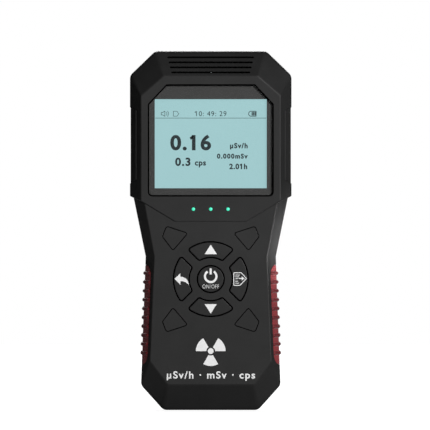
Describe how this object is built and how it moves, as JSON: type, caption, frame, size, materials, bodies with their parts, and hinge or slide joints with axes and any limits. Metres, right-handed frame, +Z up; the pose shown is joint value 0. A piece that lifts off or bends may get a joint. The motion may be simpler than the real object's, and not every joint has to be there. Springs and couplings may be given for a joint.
{
  "type": "geiger counter",
  "caption": "Upright hand-held radiation meter: bevelled two-part case with a lit screen, ring of push keys round a power key, ribbed side grips and vent slots in the top.",
  "frame": {"origin": "centre of the foot, on the surface that the meter stands on, at the middle of its width and depth", "axes": "+Z up along the meter from foot to head; the screen and keys face -Y; +X is to the right seen from the front"},
  "size_m": [0.072, 0.033, 0.16],
  "materials": {
    "case_plastic": "fine spark-eroded texture, low sheen",
    "key_plastic": "fine texture, slightly smoother than the case",
    "grip_rubber": "soft-touch moulded rubber, dark red",
    "seal_rubber": "plain",
    "cover_rubber": "soft-touch, black",
    "window_clear": "polished clear acrylic",
    "mask_grey": "printed border film",
    "screen_lit": "backlit liquid-crystal glass",
    "frame_metal": "stamped and plated",
    "diffuser_white": "milky diffuser",
    "light_teal": "lit light pipe",
    "mesh_dark": "fine dark mesh",
    "board_green": "solder mask over glass-fibre board",
    "inner_black": "moulded",
    "tube_glass": "thin glass with metal film",
    "contact_brass": "sprung, plated",
    "battery_wrap": "shrink wrap",
    "screw_steel": "plated",
    "switch_grey": "moulded",
    "print_white": "screen-printed ink",
    "print_dark": "dark liquid-crystal segments"
  },
  "bodies": {
    "case": {"front_shell": "case_plastic", "rear_shell": "case_plastic", "case_gasket": "seal_rubber", "left_grip": "grip_rubber", "right_grip": "grip_rubber", "case_screws": "screw_steel", "display_window": "window_clear", "display_mask": "mask_grey", "lcd_glass": "screen_lit", "lcd_frame": "frame_metal", "backlight_panel": "diffuser_white", "lcd_header": "inner_black", "indicator_lenses": "light_teal", "status_leds": "diffuser_white", "vent_mesh": "mesh_dark", "main_board": "board_green", "board_screws": "screw_steel", "processor_chip": "inner_black", "geiger_tube": "tube_glass", "tube_end_caps": "frame_metal", "tube_clips": "contact_brass", "hv_module": "inner_black", "buzzer": "inner_black", "battery": "battery_wrap", "battery_contacts": "contact_brass", "battery_cover": "case_plastic", "battery_cover_screw": "screw_steel", "charging_socket": "frame_metal", "socket_cover_pin": "screw_steel", "key_switches": "switch_grey"},
    "power_button": {"power_key": "key_plastic", "power_plunger": "inner_black"},
    "up_button": {"up_key": "key_plastic", "up_plunger": "inner_black"},
    "down_button": {"down_key": "key_plastic", "down_plunger": "inner_black"},
    "back_button": {"back_key": "key_plastic", "back_plunger": "inner_black"},
    "export_button": {"export_key": "key_plastic", "export_plunger": "inner_black"},
    "socket_cover": {"socket_cover": "cover_rubber"}
  },
  "joints": [
    {"name": "power_press", "type": "slide", "parent": "case", "child": "power_button", "axis": [0, 1, 0], "range_m": [0, 0.0006], "stiffness_N_per_m": 2500},
    {"name": "up_press", "type": "slide", "parent": "case", "child": "up_button", "axis": [0, 1, 0], "range_m": [0, 0.0006], "stiffness_N_per_m": 2500},
    {"name": "down_press", "type": "slide", "parent": "case", "child": "down_button", "axis": [0, 1, 0], "range_m": [0, 0.0006], "stiffness_N_per_m": 2500},
    {"name": "back_press", "type": "slide", "parent": "case", "child": "back_button", "axis": [0, 1, 0], "range_m": [0, 0.0006], "stiffness_N_per_m": 2500},
    {"name": "export_press", "type": "slide", "parent": "case", "child": "export_button", "axis": [0, 1, 0], "range_m": [0, 0.0006], "stiffness_N_per_m": 2500},
    {"name": "socket_cover_hinge", "type": "hinge", "parent": "case", "child": "socket_cover", "pos_m": [-0.0345, 0.0003, 0.118], "axis": [0, 0, -1], "range_deg": [0, 90]}
  ]
}
